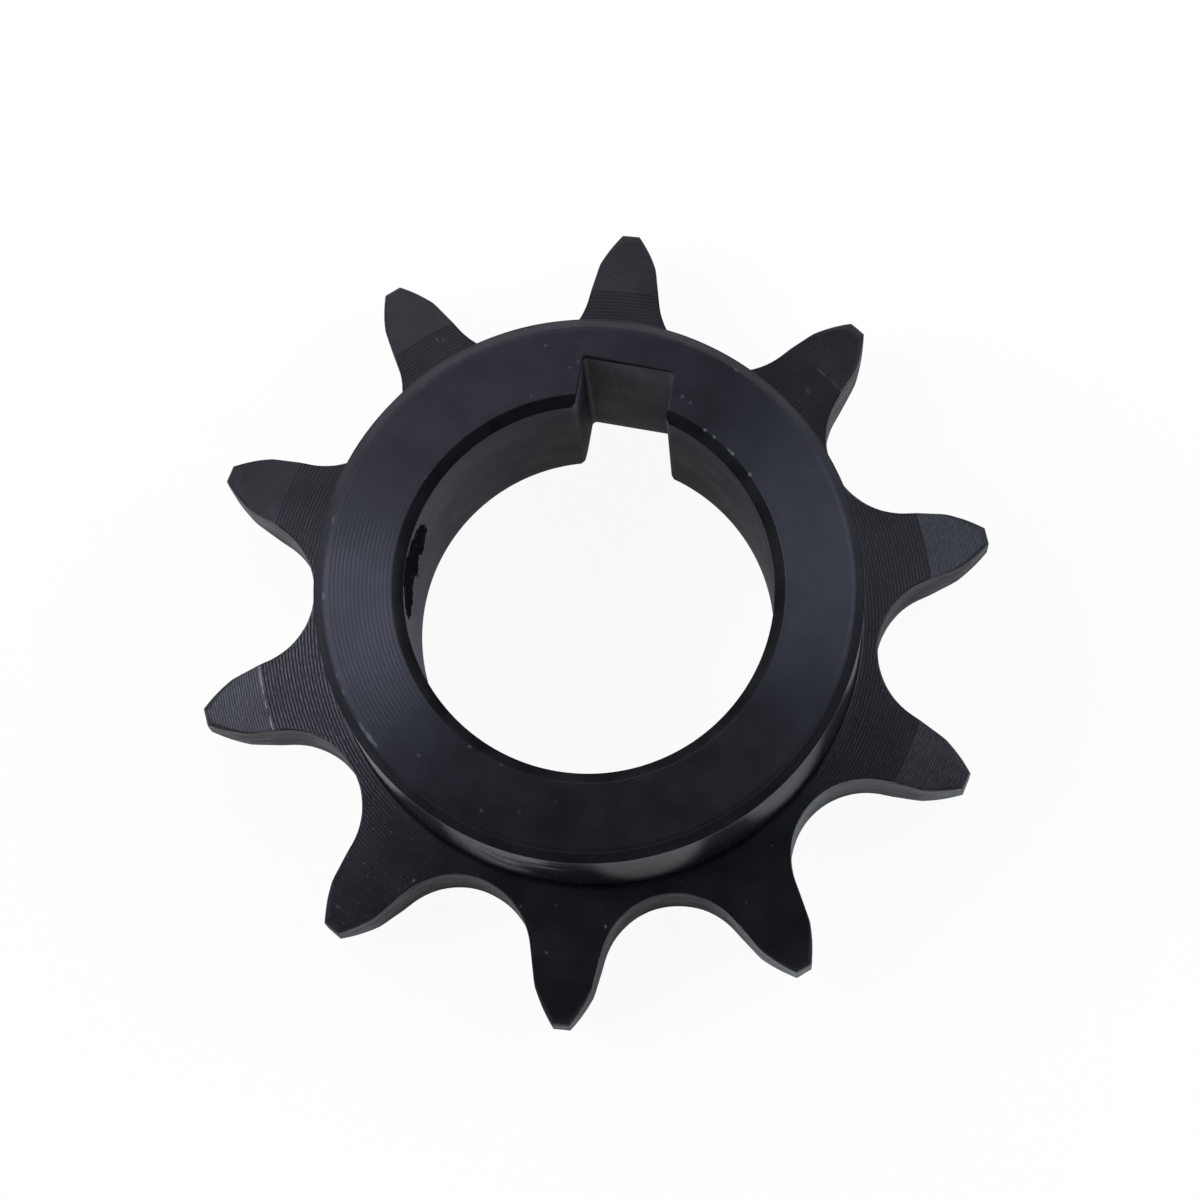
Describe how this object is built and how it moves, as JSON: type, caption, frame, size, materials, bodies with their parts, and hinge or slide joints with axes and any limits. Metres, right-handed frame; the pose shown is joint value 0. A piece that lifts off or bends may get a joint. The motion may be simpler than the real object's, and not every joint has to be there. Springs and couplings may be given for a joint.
{
  "type": "chain sprocket",
  "caption": "Small toothed wheel for a roller chain, with a long hub on one side, a plain bore and a keyway cut through its length.",
  "frame": {"origin": "on the bore axis, in the plane of the plate's back face", "axes": "+Z along the bore axis to the hub's nose, +Y to the middle of the keyway"},
  "size_m": [0.0442, 0.045, 0.018],
  "materials": {
    "blackened_steel": "black oxide over turned and milled steel, satin, with fine concentric turning marks"
  },
  "bodies": {
    "root": {"sprocket": "blackened_steel"}
  },
  "joints": []
}
